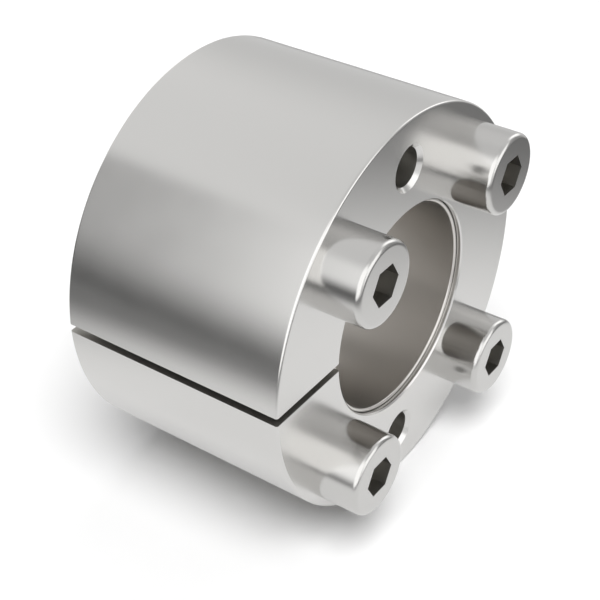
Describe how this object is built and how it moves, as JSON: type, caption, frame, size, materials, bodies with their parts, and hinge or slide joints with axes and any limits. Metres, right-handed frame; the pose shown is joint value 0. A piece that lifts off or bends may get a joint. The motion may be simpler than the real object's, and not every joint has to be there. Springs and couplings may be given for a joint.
{
  "type": "shaft locking assembly",
  "caption": "Keyless shaft locking assembly: a slit cone drawn by socket head screws into a slit outer ring, gripping the shaft inside and the hub outside.",
  "frame": {"origin": "on the shaft's axis, in the plane of the outer ring's rear face that the assembly stands on", "axes": "+Z along the shaft's axis towards the screw heads, both slits towards -X, jack holes towards +Y and -Y"},
  "size_m": [0.035, 0.035, 0.0247],
  "materials": {
    "ring_steel": "satin stainless steel, fine turned",
    "cone_steel": "satin stainless steel, ground",
    "screw_steel": "smooth bright stainless steel"
  },
  "bodies": {
    "outer_ring": {"outer_ring": "ring_steel"},
    "inner_ring": {"inner_ring": "cone_steel"},
    "clamping_screw_1": {"clamping_screw_1": "screw_steel"},
    "clamping_screw_2": {"clamping_screw_2": "screw_steel"},
    "clamping_screw_3": {"clamping_screw_3": "screw_steel"},
    "clamping_screw_4": {"clamping_screw_4": "screw_steel"}
  },
  "joints": [
    {"name": "cone_draw_in", "type": "slide", "parent": "outer_ring", "child": "inner_ring", "axis": [0, 0, 1], "range_m": [0, 0.0005]},
    {"name": "screw_turn_1", "type": "hinge", "parent": "outer_ring", "child": "clamping_screw_1", "pos_m": [0.00937, 0.00937, 0.0207], "axis": [0, 0, -1], "range_deg": [0, 258]},
    {"name": "screw_turn_2", "type": "hinge", "parent": "outer_ring", "child": "clamping_screw_2", "pos_m": [-0.00937, 0.00937, 0.0207], "axis": [0, 0, -1], "range_deg": [0, 258]},
    {"name": "screw_turn_3", "type": "hinge", "parent": "outer_ring", "child": "clamping_screw_3", "pos_m": [-0.00937, -0.00937, 0.0207], "axis": [0, 0, -1], "range_deg": [0, 258]},
    {"name": "screw_turn_4", "type": "hinge", "parent": "outer_ring", "child": "clamping_screw_4", "pos_m": [0.00937, -0.00937, 0.0207], "axis": [0, 0, -1], "range_deg": [0, 258]}
  ],
  "couplings": [
    {"joint": "screw_turn_1", "follows": "cone_draw_in", "rad_per_m": 8976},
    {"joint": "screw_turn_2", "follows": "cone_draw_in", "rad_per_m": 8976},
    {"joint": "screw_turn_3", "follows": "cone_draw_in", "rad_per_m": 8976},
    {"joint": "screw_turn_4", "follows": "cone_draw_in", "rad_per_m": 8976}
  ]
}
